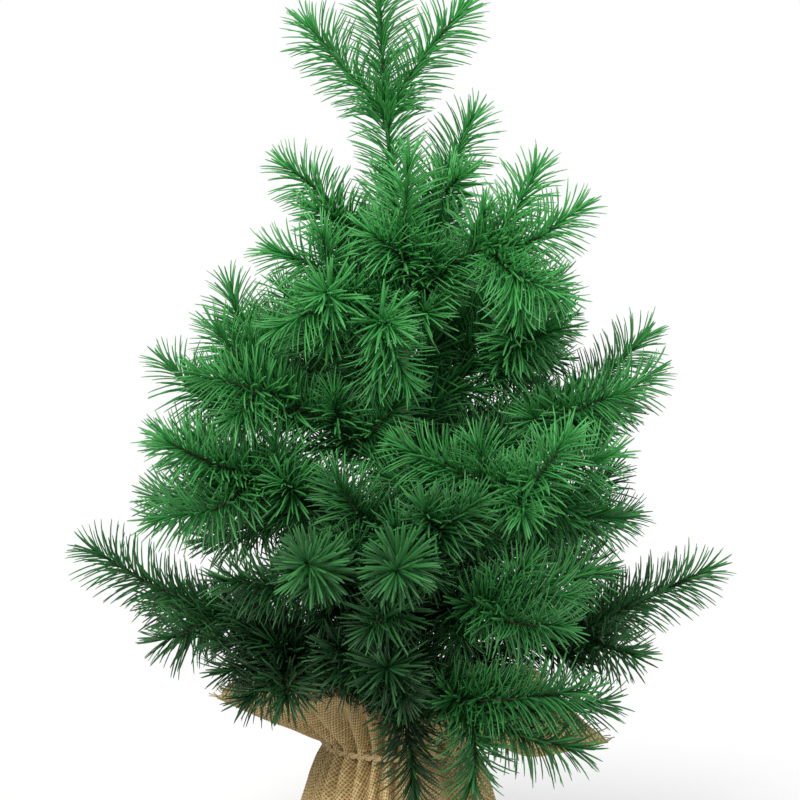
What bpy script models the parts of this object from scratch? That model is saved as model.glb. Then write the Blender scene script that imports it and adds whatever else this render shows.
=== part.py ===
"""Artificial tabletop pine, 60 cm tall, on a weighted base wrapped in burlap.

The tree is a steel rod set in a cement-filled plastic base. Paper tape binds
26 bendable branches to the rod, and the leader carries on above it. A branch
is a wrapped wire, pushed into a moulded foliage piece. Each wire bends at its
root, which is a hinge here. A square of burlap is gathered round the base and
tied under its rim. Metres, +Z up, origin at the middle of the underside.
"""

import math

import bmesh
import bpy
from mathutils import Vector

# ---- driving dimensions ---------------------------------------------------
TRUNK_X = 0.003             # the trunk stands just right of the base's middle
GAP = 0.0004                # clearance kept between neighbouring pieces
BASE_SIDES = 40             # facets round the pieces of the base
SHARP_ANGLE = 50            # degrees past which an edge is shaded sharp

ROD_RADIUS = 0.0015
ROD_FOOT = 0.020            # the rod stops inside the cement
ROD_TOP = 0.379
ROD_SIDES = 8
WRAP_SIDES = 12

# Tape wrap of the trunk: (height, radius). Every branch wire bound in below
# makes it thicker, so it narrows upwards.
WRAP_PROFILE = [
    (0.0930, 0.0085),
    (0.1480, 0.0080),
    (0.1700, 0.0058),
    (0.2050, 0.0040),
    (0.2600, 0.0035),
    (0.3800, 0.0030),
]

# Moulded plastic base: (radius, height) up its outer wall, and its wall.
CUP_PROFILE = [
    (0.0460, 0.0040),
    (0.0545, 0.0100),
    (0.0575, 0.0300),
    (0.0540, 0.0540),
    (0.0470, 0.0740),
    (0.0390, 0.0880),
    (0.0355, 0.1040),
]
CUP_WALL = 0.0022
CEMENT_TOP = 0.0925

# Burlap: outer face of the sack, its neck under the tie, and the cut square.
SACK_PROFILE = [
    (0.0300, 0.0000),
    (0.0500, 0.0000),
    (0.0585, 0.0080),
    (0.0622, 0.0280),
    (0.0600, 0.0500),
    (0.0535, 0.0680),
    (0.0490, 0.0850),
    (0.0450, 0.0960),
    (0.0450, 0.1010),
]
CLOTH_THICKNESS = 0.0030
CUP_FIT = 0.0006            # room between the moulded base and the cloth
CLOTH_SIDE = 0.360          # side of the burlap square
CLOTH_TO_NECK = 0.155       # middle of the square to the tie, along the cloth

# The corners of the square above the tie: (heading, rise of the flap near the
# tie, rise near its tip), in degrees, and the share of its length that isn't
# folded under. The short cloth between the corners stands up.
CLOTH_CORNERS = [(45, 2, 6, 1.0), (144, 4, 10, 1.0), (207, 20, 28, 0.86), (333, -11, 17, 1.0)]
EDGE_RISE = 72
CORNER_WIDTH = 0.6          # how fast the cloth sinks towards a corner: less is wider
NEAR_SHARE = 0.45           # share of the cloth past the tie that has the near rise

TIE_RADIUS = 0.0012
TIE_HEIGHT = 0.0985
TIE_SIDES = 6

# Foliage: radius of the dense core of a sprig, and the needles past its stem.
SPRIG_SIDES = 6
CORE_RADIUS = 0.0062
CORE_FORK = 0.80            # share of that radius at the fork
CORE_TIP = 0.86             # and at the end of the stem
NECK_RADIUS = 0.0036
TIP_NEEDLES = 0.022
SHORTEST_STEP = 0.004       # points nearer than this to an end are dropped
FORK_CAP = 0.003            # how far a core reaches past the fork
NECK_CAP = 0.002            # and past the mouth of the socket
WIRE_CAP = 0.0002           # rounding at the end of a wire
WIRE_RADIUS = 0.0011
ROOT_RADIUS = 0.0014
BARE_WIRE = 0.030           # wire between the trunk and the foliage
SOCKET_DEPTH = 0.008
SOCKET_OPEN = 0.006         # length of the cutter outside the foliage

LEADER_ROOT = 0.3822
LEADER_BARE = 0.022
LEADER_STEM = [(-0.001, 0.000, 0.412), (-0.005, 0.000, 0.451), (-0.007, 0.000, 0.476)]
LEADER_TWIGS = [
    [(-0.009, 0.000, 0.505), (-0.013, 0.000, 0.577)],
    [(-0.032, 0.006, 0.505), (-0.053, 0.010, 0.530)],
    [(0.016, -0.006, 0.512), (0.037, -0.010, 0.537)],
]

# Branches: height of the root on the trunk, the stem from the trunk to the
# fork, and each twig from the fork to the end of its stem.
BRANCHES = {
    "01": (0.374, [(-0.029, 0.006, 0.409)], [
        [(-0.047, 0.002, 0.431), (-0.064, 0.000, 0.445)],
        [(-0.047, -0.015, 0.420)],
    ]),
    "02": (0.376, [(0.020, 0.014, 0.422)], [
        [(0.035, 0.016, 0.455), (0.044, 0.012, 0.474)],
        [(0.036, -0.010, 0.440)],
    ]),
    "03": (0.363, [(0.003, -0.028, 0.392)], [
        [(0.004, -0.037, 0.420), (0.006, -0.042, 0.448)],
        [(-0.014, -0.046, 0.406)],
    ]),
    "04": (0.355, [(0.028, -0.025, 0.385), (0.051, -0.030, 0.400)], [
        [(0.067, -0.024, 0.418), (0.080, -0.020, 0.442)],
        [(0.076, -0.044, 0.402), (0.101, -0.050, 0.419)],
        [(0.066, -0.050, 0.384), (0.092, -0.062, 0.372)],
    ]),
    "05": (0.345, [(-0.025, -0.025, 0.372)], [
        [(-0.046, -0.036, 0.386), (-0.070, -0.042, 0.396)],
        [(-0.042, -0.048, 0.366), (-0.066, -0.060, 0.354)],
        [(-0.010, -0.044, 0.350), (0.004, -0.056, 0.324)],
    ]),
    "06": (0.306, [(-0.025, 0.022, 0.333), (-0.046, 0.028, 0.349)], [
        [(-0.060, 0.030, 0.360), (-0.070, 0.031, 0.371)],
        [(-0.076, 0.044, 0.343), (-0.096, 0.050, 0.350)],
    ]),
    "07": (0.264, [(-0.037, -0.020, 0.292), (-0.064, -0.030, 0.309)], [
        [(-0.088, -0.016, 0.341), (-0.099, -0.010, 0.371)],
        [(-0.108, -0.032, 0.309), (-0.134, -0.030, 0.329)],
        [(-0.086, -0.056, 0.318), (-0.112, -0.068, 0.326)],
    ]),
    "08": (0.220, [(-0.046, -0.030, 0.244), (-0.083, -0.045, 0.264)], [
        [(-0.113, -0.042, 0.281), (-0.135, -0.036, 0.287)],
        [(-0.108, -0.066, 0.276), (-0.130, -0.080, 0.288)],
        [(-0.104, -0.072, 0.250), (-0.134, -0.084, 0.246)],
        [(-0.120, -0.020, 0.250), (-0.143, -0.002, 0.248)],
    ]),
    "09": (0.156, [(-0.058, -0.016, 0.168), (-0.102, -0.018, 0.181)], [
        [(-0.144, -0.014, 0.196), (-0.182, -0.008, 0.217)],
        [(-0.122, -0.034, 0.173), (-0.135, -0.044, 0.170)],
        [(-0.125, 0.010, 0.176), (-0.146, 0.032, 0.181)],
    ]),
    "10": (0.188, [(-0.025, -0.060, 0.206)], [
        [(-0.041, -0.105, 0.219), (-0.049, -0.148, 0.229)],
        [(-0.064, -0.084, 0.208), (-0.096, -0.096, 0.212)],
        [(-0.004, -0.098, 0.196), (-0.014, -0.128, 0.192)],
    ]),
    "11": (0.203, [(0.004, -0.055, 0.220)], [
        [(0.002, -0.105, 0.224), (-0.001, -0.150, 0.225)],
        [(0.024, -0.086, 0.240), (0.042, -0.100, 0.256)],
        [(-0.020, -0.076, 0.244), (-0.034, -0.086, 0.268)],
    ]),
    "12": (0.140, [(-0.001, -0.045, 0.146)], [
        [(-0.004, -0.088, 0.162), (-0.006, -0.126, 0.168)],
        [(0.005, -0.078, 0.126), (0.009, -0.094, 0.094)],
        [(-0.022, -0.076, 0.162), (-0.034, -0.098, 0.174)],
    ]),
    "13": (0.286, [(0.031, 0.020, 0.315), (0.058, 0.025, 0.332)], [
        [(0.078, 0.026, 0.344), (0.097, 0.026, 0.355)],
        [(0.074, -0.004, 0.342), (0.094, -0.018, 0.350)],
        [(0.072, 0.050, 0.330), (0.090, 0.072, 0.333)],
    ]),
    "14": (0.254, [(0.050, 0.014, 0.275), (0.089, 0.015, 0.291)], [
        [(0.120, 0.020, 0.315), (0.148, 0.020, 0.343)],
        [(0.118, -0.002, 0.303), (0.148, -0.008, 0.322)],
        [(0.104, -0.022, 0.302), (0.130, -0.040, 0.314)],
        [(0.115, 0.048, 0.290), (0.138, 0.070, 0.300)],
    ]),
    "15": (0.224, [(0.036, -0.034, 0.243), (0.062, -0.054, 0.255)], [
        [(0.090, -0.065, 0.268), (0.119, -0.072, 0.280)],
        [(0.094, -0.052, 0.243), (0.127, -0.046, 0.242)],
        [(0.078, -0.082, 0.268), (0.094, -0.096, 0.292)],
        [(0.038, -0.062, 0.268), (0.004, -0.064, 0.284)],
    ]),
    "16": (0.174, [(0.024, -0.048, 0.188), (0.048, -0.080, 0.196)], [
        [(0.070, -0.095, 0.202), (0.092, -0.106, 0.205)],
        [(0.064, -0.104, 0.190), (0.088, -0.120, 0.190)],
        [(0.082, -0.075, 0.206), (0.112, -0.070, 0.212)],
    ]),
    "17": (0.146, [(0.049, -0.010, 0.156), (0.102, -0.010, 0.168)], [
        [(0.143, -0.015, 0.187), (0.181, -0.020, 0.206)],
        [(0.124, -0.032, 0.163), (0.136, -0.044, 0.161)],
        [(0.122, 0.020, 0.170), (0.146, 0.042, 0.179)],
    ]),
    "18": (0.136, [(0.018, -0.050, 0.143), (0.035, -0.082, 0.142)], [
        [(0.075, -0.084, 0.136), (0.115, -0.077, 0.139)],
        [(0.062, -0.104, 0.146), (0.100, -0.112, 0.152)],
        [(0.043, -0.100, 0.118), (0.041, -0.106, 0.098)],
        [(0.068, -0.094, 0.124), (0.100, -0.094, 0.116)],
    ]),
    "19": (0.143, [(-0.033, -0.034, 0.153), (-0.054, -0.044, 0.160)], [
        [(-0.078, -0.048, 0.166), (-0.102, -0.050, 0.169)],
        [(-0.075, -0.062, 0.159), (-0.096, -0.072, 0.157)],
        [(-0.062, -0.068, 0.156), (-0.084, -0.084, 0.144)],
    ]),
    "20": (0.358, [(-0.004, 0.030, 0.384)], [
        [(-0.008, 0.048, 0.412), (-0.010, 0.060, 0.438)],
        [(0.018, 0.058, 0.398), (0.030, 0.080, 0.414)],
        [(-0.022, 0.062, 0.388), (-0.034, 0.084, 0.398)],
    ]),
    "21": (0.325, [(0.034, 0.034, 0.350)], [
        [(0.058, 0.056, 0.372), (0.070, 0.068, 0.394)],
        [(0.066, 0.040, 0.362), (0.096, 0.048, 0.376)],
        [(0.032, 0.072, 0.356), (0.030, 0.100, 0.368)],
    ]),
    "22": (0.288, [(-0.036, 0.046, 0.312)], [
        [(-0.066, 0.066, 0.320), (-0.092, 0.080, 0.336)],
        [(-0.080, 0.044, 0.304), (-0.118, 0.048, 0.312)],
        [(-0.036, 0.086, 0.322), (-0.034, 0.118, 0.338)],
    ]),
    "23": (0.256, [(0.022, 0.056, 0.282)], [
        [(0.022, 0.098, 0.302), (0.022, 0.130, 0.326)],
        [(0.058, 0.086, 0.288), (0.086, 0.108, 0.300)],
        [(-0.008, 0.096, 0.282), (-0.022, 0.136, 0.288)],
    ]),
    "24": (0.208, [(-0.040, 0.040, 0.226), (-0.070, 0.062, 0.238)], [
        [(-0.102, 0.082, 0.256), (-0.126, 0.096, 0.278)],
        [(-0.106, 0.058, 0.232), (-0.136, 0.062, 0.238)],
        [(-0.074, 0.102, 0.244), (-0.076, 0.138, 0.254)],
        [(-0.100, 0.088, 0.214), (-0.122, 0.104, 0.210)],
    ]),
    "25": (0.190, [(0.045, 0.030, 0.206), (0.080, 0.050, 0.218)], [
        [(0.112, 0.072, 0.234), (0.134, 0.088, 0.254)],
        [(0.110, 0.040, 0.222), (0.138, 0.038, 0.232)],
        [(0.082, 0.092, 0.222), (0.088, 0.130, 0.234)],
        [(0.106, 0.078, 0.198), (0.130, 0.094, 0.190)],
    ]),
    "26": (0.162, [(-0.006, 0.045, 0.176), (-0.010, 0.082, 0.188)], [
        [(-0.010, 0.122, 0.208), (-0.010, 0.152, 0.234)],
        [(0.030, 0.110, 0.186), (0.052, 0.146, 0.192)],
        [(-0.048, 0.106, 0.184), (-0.076, 0.140, 0.188)],
        [(-0.012, 0.122, 0.166), (-0.014, 0.158, 0.160)],
    ]),
}


# ---- helpers --------------------------------------------------------------
def clear_scene():
    """Start from an empty file."""
    for thing in list(bpy.data.objects):
        bpy.data.objects.remove(thing, do_unlink=True)


def finish_material(name, colour, roughness, metallic=0.0):
    """A plain Principled finish."""
    material = bpy.data.materials.new(name)
    material.use_nodes = True
    shader = material.node_tree.nodes["Principled BSDF"]
    shader.inputs["Base Color"].default_value = (*colour, 1.0)
    shader.inputs["Roughness"].default_value = roughness
    shader.inputs["Metallic"].default_value = metallic
    return material


def add_object(name, shape, material, pivot=(0.0, 0.0, 0.0)):
    """Link a bmesh as an object whose origin is its pivot."""
    bmesh.ops.recalc_face_normals(shape, faces=shape.faces)
    bmesh.ops.translate(shape, verts=shape.verts, vec=-Vector(pivot))
    mesh = bpy.data.meshes.new(name)
    shape.to_mesh(mesh)
    shape.free()
    mesh.shade_smooth()
    mesh.set_sharp_from_angle(angle=math.radians(SHARP_ANGLE))
    mesh.materials.append(material)
    thing = bpy.data.objects.new(name, mesh)
    thing.location = pivot
    bpy.context.scene.collection.objects.link(thing)
    return thing


def loft(shape, rings, first_pole, last_pole):
    """Skin equal rings of points, and close both ends on a pole."""
    loops = [[shape.verts.new(point) for point in ring] for ring in rings]
    count = len(loops[0])
    for lower, upper in zip(loops, loops[1:]):
        for i in range(count):
            j = (i + 1) % count
            shape.faces.new((lower[i], lower[j], upper[j], upper[i]))
    for loop, pole in ((loops[0], first_pole), (loops[-1], last_pole)):
        tip = shape.verts.new(pole)
        for i in range(count):
            shape.faces.new((tip, loop[i], loop[(i + 1) % count]))


def turned(profile, first_height, last_height, sides=BASE_SIDES, centre_x=0.0):
    """A solid of revolution: (radius, height) rings, closed on the axis."""
    shape = bmesh.new()
    rings = []
    for radius, height in profile:
        ring = []
        for i in range(sides):
            turn = 2.0 * math.pi * i / sides
            ring.append((centre_x + radius * math.cos(turn), radius * math.sin(turn), height))
        rings.append(ring)
    loft(shape, rings, (centre_x, 0.0, first_height), (centre_x, 0.0, last_height))
    return shape


def turned_ring(profile, sides=BASE_SIDES, centre_x=0.0):
    """A turned body with a hole through it: a closed (radius, height) outline."""
    shape = bmesh.new()
    loops = []
    for i in range(sides):
        turn = 2.0 * math.pi * i / sides
        points = [(centre_x + r * math.cos(turn), r * math.sin(turn), z) for r, z in profile]
        loops.append([shape.verts.new(point) for point in points])
    count = len(profile)
    for i in range(sides):
        here = loops[i]
        after = loops[(i + 1) % sides]
        for k in range(count):
            m = (k + 1) % count
            shape.faces.new((here[k], after[k], after[m], here[m]))
    return shape


def wrap_radius(height):
    """Radius of the tape wrap at a height on the trunk."""
    for (z0, r0), (z1, r1) in zip(WRAP_PROFILE, WRAP_PROFILE[1:]):
        if height <= z1:
            return r0 + (r1 - r0) * (height - z0) / (z1 - z0)
    return WRAP_PROFILE[-1][1]


def along(points, distance):
    """Point and direction at a distance along a line of points."""
    left = distance
    for a, b in zip(points, points[1:]):
        step = b - a
        if left <= step.length:
            return a + step.normalized() * left, step.normalized()
        left -= step.length
    return points[-1].copy(), (points[-1] - points[-2]).normalized()


def part_of_line(points, start, end):
    """The points of a line between two distances along it."""
    kept = [along(points, start)[0]]
    walked = 0.0
    for a, b in zip(points, points[1:]):
        walked += (b - a).length
        if start + SHORTEST_STEP < walked < end - SHORTEST_STEP:
            kept.append(b.copy())
    kept.append(along(points, end)[0])
    return kept


def tube_rings(points, radii, sides=SPRIG_SIDES):
    """Rings square to a line of points, carried along it without twist."""
    rings = []
    across = (points[1] - points[0]).orthogonal().normalized()
    for i, (point, radius) in enumerate(zip(points, radii)):
        before = points[max(i - 1, 0)]
        after = points[min(i + 1, len(points) - 1)]
        ahead = (after - before).normalized()
        across = (across - ahead * across.dot(ahead)).normalized()
        third = ahead.cross(across)
        ring = []
        for k in range(sides):
            turn = 2.0 * math.pi * k / sides
            ring.append(point + radius * (math.cos(turn) * across + math.sin(turn) * third))
        rings.append(ring)
    return rings


def add_tube(shape, points, radii, first_reach, last_reach):
    """A tube along points, closed at each end by a point that reaches past it."""
    start = points[0] + (points[0] - points[1]).normalized() * first_reach
    end = points[-1] + (points[-1] - points[-2]).normalized() * last_reach
    loft(shape, tube_rings(points, radii), start, end)


# ---- the base -------------------------------------------------------------
def cup_inner_wall():
    """(radius, height) up the inside of the moulded base."""
    floor = CUP_PROFILE[0][1] + CUP_WALL
    return [(r - CUP_WALL, max(z, floor)) for r, z in CUP_PROFILE]


def make_cup():
    """Moulded plastic base: an open bowl that holds the cement."""
    rings = CUP_PROFILE + cup_inner_wall()[::-1]
    bottom = CUP_PROFILE[0][1]
    shape = turned(rings, bottom, bottom + CUP_WALL)
    plastic = finish_material("base_plastic", (0.035, 0.05, 0.04), 0.45)
    return add_object("base_cup", shape, plastic)


def make_weight():
    """Cement cast in the base, with the rod's hole down from its top."""
    wall = cup_inner_wall()
    outline = [(r - 2.0 * GAP, z + GAP) for r, z in wall if z + GAP < CEMENT_TOP]
    outline.append((wall[-1][0] - 2.0 * GAP, CEMENT_TOP))
    shape = turned(outline, outline[0][1], CEMENT_TOP)
    cement = finish_material("cement", (0.42, 0.41, 0.39), 0.9)
    weight = add_object("base_weight", shape, cement)
    bore = ROD_RADIUS + GAP
    foot = ROD_FOOT - GAP
    above = CEMENT_TOP + CUP_WALL
    hole = turned([(bore, foot), (bore, above)], foot, above, ROD_SIDES, TRUNK_X)
    subtract(weight, add_object("rod_hole", hole, cement))
    return weight


def subtract(body, cutter):
    """Cut one shape out of a body, and join the body's own overlaps."""
    cutter.hide_render = True
    cutter.display_type = "WIRE"
    cut = body.modifiers.new("cut", "BOOLEAN")
    cut.operation = "DIFFERENCE"
    cut.solver = "EXACT"
    cut.use_self = True
    cut.object = cutter


def flap_at(heading):
    """Cloth past the tie at a heading: its length, and its two rises."""
    for i, corner in enumerate(CLOTH_CORNERS):
        after = CLOTH_CORNERS[(i + 1) % len(CLOTH_CORNERS)]
        span = (after[0] - corner[0]) % 360.0
        gone = (heading - corner[0]) % 360.0
        if gone < span:
            break
    slant = math.radians(90.0 * gone / span - 45.0)
    reach = CLOTH_SIDE / 2.0 / math.cos(slant)
    share = (1.0 / math.cos(slant) - 1.0) / (math.sqrt(2.0) - 1.0)
    nearest = corner if gone < span / 2.0 else after
    length = (reach - CLOTH_TO_NECK) * (1.0 - (1.0 - nearest[3]) * share)
    near, far = [EDGE_RISE + (rise - EDGE_RISE) * share ** CORNER_WIDTH for rise in nearest[1:3]]
    return length, math.radians(near), math.radians(far)


def stepped(point, length, rise):
    """A point of (radius, height) moved by a length at a rise."""
    return point[0] + length * math.cos(rise), point[1] + length * math.sin(rise)


def make_burlap():
    """The gathered square: a sack with a neck, and a collar with four corners."""
    shape = bmesh.new()
    neck_radius, neck_height = SACK_PROFILE[-1]
    cavity = [(r + CUP_FIT, z) for r, z in CUP_PROFILE[::-1]]
    cavity[0] = (cavity[0][0] + CUP_FIT, neck_height)
    cavity[-1] = (cavity[-1][0], CUP_PROFILE[0][1] - CUP_FIT)
    columns = []
    for i in range(BASE_SIDES):
        heading = 360.0 * i / BASE_SIDES
        length, near, far = flap_at(heading)
        half = stepped((neck_radius, neck_height), NEAR_SHARE * length, near)
        edge = stepped(half, (1.0 - NEAR_SHARE) * length, far)
        top_edge = stepped(edge, CLOTH_THICKNESS, far + math.pi / 2.0)
        top_half = stepped(half, CLOTH_THICKNESS, near + math.pi / 2.0)
        column = SACK_PROFILE + [half, edge, top_edge, top_half] + cavity
        columns.append([heading, column])
    rings = []
    for level in range(len(columns[0][1])):
        ring = []
        for heading, column in columns:
            r, z = column[level]
            turn = math.radians(heading)
            ring.append((r * math.cos(turn), r * math.sin(turn), z))
        rings.append(ring)
    loft(shape, rings, (0.0, 0.0, 0.0), (0.0, 0.0, CUP_PROFILE[0][1] - CUP_FIT))
    return add_object("burlap_wrap", shape, finish_material("burlap", (0.45, 0.32, 0.19), 0.95))


def make_tie():
    """Jute twine round the neck."""
    middle = SACK_PROFILE[-1][0] + TIE_RADIUS + GAP
    outline = []
    for k in range(TIE_SIDES):
        turn = 2.0 * math.pi * (k + 0.5) / TIE_SIDES
        outline.append((middle + TIE_RADIUS * math.cos(turn), TIE_HEIGHT + TIE_RADIUS * math.sin(turn)))
    shape = turned_ring(outline)
    return add_object("jute_tie", shape, finish_material("jute", (0.5, 0.36, 0.2), 0.9))


# ---- the trunk ------------------------------------------------------------
def make_rod():
    """Steel rod down into the cement."""
    outline = [(ROD_RADIUS, ROD_FOOT), (ROD_RADIUS, ROD_TOP)]
    shape = turned(outline, ROD_FOOT, ROD_TOP, ROD_SIDES, TRUNK_X)
    return add_object("trunk_rod", shape, finish_material("steel", (0.5, 0.5, 0.5), 0.35, 1.0))


def make_wrap():
    """Paper tape wound round the rod, over the branch wires."""
    outer = [(r, z) for z, r in WRAP_PROFILE]
    bore = ROD_RADIUS + GAP
    top = outer[-1][1]
    outline = [(bore, outer[0][1])] + outer + [(bore, top)]
    shape = turned_ring(outline, WRAP_SIDES, TRUNK_X)
    tape = finish_material("trunk_tape", (0.42, 0.26, 0.2), 0.8)
    return add_object("trunk_wrap", shape, tape)


# ---- the branches ---------------------------------------------------------
def branch_root(height, first_point):
    """Root of a wire beside the tape wrap, on the side it leaves from."""
    away = Vector((first_point[0] - TRUNK_X, first_point[1], 0.0)).normalized()
    reach = wrap_radius(height) + ROOT_RADIUS + GAP
    return Vector((TRUNK_X, 0.0, height)) + away * reach


def core_radii(count, first):
    """Radii of a foliage core with that many rings."""
    return [first] + [CORE_RADIUS] * (count - 2) + [CORE_RADIUS * CORE_TIP]


def add_twig(shape, fork, points):
    """One sprig from the fork: a core that tapers into its end needles."""
    line = [fork] + [Vector(p) for p in points]
    add_tube(shape, line, core_radii(len(line), CORE_RADIUS * CORE_FORK), FORK_CAP, TIP_NEEDLES)


def make_branch(name, root, stem, twigs, bare, wire_finish, foliage):
    """A wrapped wire, and the moulded foliage that is pushed onto it."""
    line = [root] + [Vector(p) for p in stem]
    wire_end = bare + SOCKET_DEPTH
    wire_line = part_of_line(line, 0.0, wire_end)
    radii = [ROOT_RADIUS] + [WIRE_RADIUS] * (len(wire_line) - 1)
    wire = bmesh.new()
    add_tube(wire, wire_line, radii, ROOT_RADIUS / 2.0, WIRE_CAP)
    add_object(name + "_wire", wire, wire_finish, root)

    body = bmesh.new()
    length = sum((b - a).length for a, b in zip(line, line[1:]))
    core = part_of_line(line, bare, length)
    add_tube(body, core, core_radii(len(core), NECK_RADIUS), NECK_CAP, FORK_CAP)
    for points in twigs:
        add_twig(body, line[-1], points)
    sprigs = add_object(name + "_sprigs", body, foliage, root)

    mouth, ahead = along(line, bare)
    socket = bmesh.new()
    ends = [mouth - ahead * SOCKET_OPEN, mouth + ahead * (SOCKET_DEPTH + GAP)]
    add_tube(socket, ends, [WIRE_RADIUS + GAP] * 2, WIRE_CAP, GAP)
    subtract(sprigs, add_object(name + "_socket", socket, wire_finish, root))


def make_leader(wire_finish, foliage):
    """The top of the tree: it carries on from the trunk, with two side twigs."""
    root = Vector((TRUNK_X, 0.0, LEADER_ROOT))
    make_branch("leader", root, LEADER_STEM, LEADER_TWIGS, LEADER_BARE, wire_finish, foliage)


def make_branches(wire_finish, foliage):
    """All the branches of the table."""
    for number, (height, stem, twigs) in BRANCHES.items():
        root = branch_root(height, stem[0])
        make_branch("branch_" + number, root, stem, twigs, BARE_WIRE, wire_finish, foliage)


def main():
    clear_scene()
    make_cup()
    make_weight()
    make_burlap()
    make_tie()
    make_rod()
    make_wrap()
    wire_finish = finish_material("branch_wire", (0.1, 0.16, 0.07), 0.7)
    foliage = finish_material("needles", (0.02, 0.22, 0.07), 0.5)
    make_leader(wire_finish, foliage)
    make_branches(wire_finish, foliage)


main()
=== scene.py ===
# %% [markdown]
# # A bendable tabletop pine in a burlap sack
# The frame already holds the tree's working model: a weighted base, a taped
# trunk, a leader and 26 branches that each bend at their root. This lesson
# gives it its looks. The order is camera and light, then the crown, because
# it is most of what is seen, then the trunk, and the gathered cloth last.

# %% Load the frame
import math

import bmesh
import bpy
import numpy as np
from mathutils import Matrix, Vector, noise


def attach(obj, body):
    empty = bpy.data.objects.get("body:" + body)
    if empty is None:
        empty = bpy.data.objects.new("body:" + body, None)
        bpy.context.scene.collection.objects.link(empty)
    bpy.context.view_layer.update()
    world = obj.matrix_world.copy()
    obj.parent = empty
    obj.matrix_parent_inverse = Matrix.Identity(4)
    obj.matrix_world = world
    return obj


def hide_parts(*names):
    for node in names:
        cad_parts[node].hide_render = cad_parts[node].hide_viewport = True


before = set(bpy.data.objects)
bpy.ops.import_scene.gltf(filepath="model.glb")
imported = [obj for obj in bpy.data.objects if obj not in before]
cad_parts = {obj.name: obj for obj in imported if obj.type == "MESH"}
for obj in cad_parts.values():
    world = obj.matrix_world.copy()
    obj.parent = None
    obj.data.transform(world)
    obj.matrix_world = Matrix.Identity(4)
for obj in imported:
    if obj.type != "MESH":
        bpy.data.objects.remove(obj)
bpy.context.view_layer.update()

# %% [markdown]
# ## Camera, floor and light
# The tree is looked at from a little above, through a long lens, so its
# outline hardly widens with nearness. A white world gives the even light of
# a studio. One large soft lamp from the upper left adds the sheen on the
# needles, and a weaker one from the right fills the shade.

# %% Place the camera
FULL_VIEW = 0.480        # width of the picture at the trunk
CAMERA_DISTANCE = 1.40
CAMERA_RISE = math.radians(4.0)
VIEW_CENTRE = Vector((0.001, 0.0, 0.307))

camera_data = bpy.data.cameras.new("camera")
camera_data.sensor_width = 36.0
camera_data.lens = 36.0 * CAMERA_DISTANCE / FULL_VIEW
camera = bpy.data.objects.new("camera", camera_data)
offset = Vector((0.0, -math.cos(CAMERA_RISE), math.sin(CAMERA_RISE))) * CAMERA_DISTANCE
camera.location = VIEW_CENTRE + offset
camera.rotation_euler = (-offset).to_track_quat("-Z", "Y").to_euler()
bpy.context.scene.collection.objects.link(camera)
bpy.context.scene.camera = camera
print("lens: %.0f mm" % camera_data.lens)


# %% Light it softly
def add_lamp(name, place, size, power, colour=(1.0, 1.0, 1.0)):
    """A square soft lamp that faces the middle of the tree."""
    data = bpy.data.lights.new(name, "AREA")
    data.size = size
    data.energy = power
    data.color = colour
    lamp = bpy.data.objects.new(name, data)
    lamp.location = place
    lamp.rotation_euler = (VIEW_CENTRE - Vector(place)).to_track_quat("-Z", "Y").to_euler()
    bpy.context.scene.collection.objects.link(lamp)


add_lamp("key_lamp", (-0.7, -1.6, 1.6), 0.7, 50.0, (1.0, 0.98, 0.92))
add_lamp("fill_lamp", (1.5, -1.0, 0.9), 1.2, 12.0, (0.96, 0.98, 1.0))
add_lamp("back_lamp", (0.4, 1.6, 1.5), 1.0, 14.0)

world = bpy.data.worlds.new("studio")
world.use_nodes = True
AMBIENT = 0.42           # light of the room; the backdrop itself stays white
rays = world.node_tree.nodes.new("ShaderNodeLightPath")
sky = world.node_tree.nodes.new("ShaderNodeMix")
sky.data_type = "RGBA"
sky.inputs[6].default_value = (AMBIENT, AMBIENT, AMBIENT, 1.0)
sky.inputs[7].default_value = (1.0, 1.0, 1.0, 1.0)
world.node_tree.links.new(rays.outputs["Is Camera Ray"], sky.inputs[0])
world.node_tree.links.new(sky.outputs[2], world.node_tree.nodes["Background"].inputs["Color"])
bpy.context.scene.world = world
bpy.context.scene.view_settings.view_transform = "Standard"


# %% Small tools for node trees
def wire_up(tree, *pairs):
    """Link pairs of sockets."""
    for source, target in pairs:
        tree.links.new(source, target)


def math_node(tree, operation, *values):
    """A Math node whose inputs are numbers or sockets."""
    node = tree.nodes.new("ShaderNodeMath")
    node.operation = operation
    for socket, value in zip(node.inputs, values):
        if hasattr(value, "links"):
            tree.links.new(value, socket)
        else:
            socket.default_value = value
    return node.outputs[0]


def mix_colour(tree, factor, first, second):
    """Mix two colours, each a socket or an RGB triple."""
    node = tree.nodes.new("ShaderNodeMix")
    node.data_type = "RGBA"
    for socket, value in ((node.inputs[0], factor), (node.inputs[6], first), (node.inputs[7], second)):
        if hasattr(value, "links"):
            tree.links.new(value, socket)
        elif isinstance(value, tuple):
            socket.default_value = (*value, 1.0)
        else:
            socket.default_value = value
    return node.outputs[2]


def new_material(name, roughness, metallic=0.0):
    """A material with a Principled shader: returns it, its tree and the shader."""
    material = bpy.data.materials.new(name)
    material.use_nodes = True
    shader = material.node_tree.nodes["Principled BSDF"]
    shader.inputs["Roughness"].default_value = roughness
    shader.inputs["Metallic"].default_value = metallic
    return material, material.node_tree, shader


def attribute(tree, name, output="Fac"):
    """A named attribute of the mesh."""
    node = tree.nodes.new("ShaderNodeAttribute")
    node.attribute_name = name
    return node.outputs[output]


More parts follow.
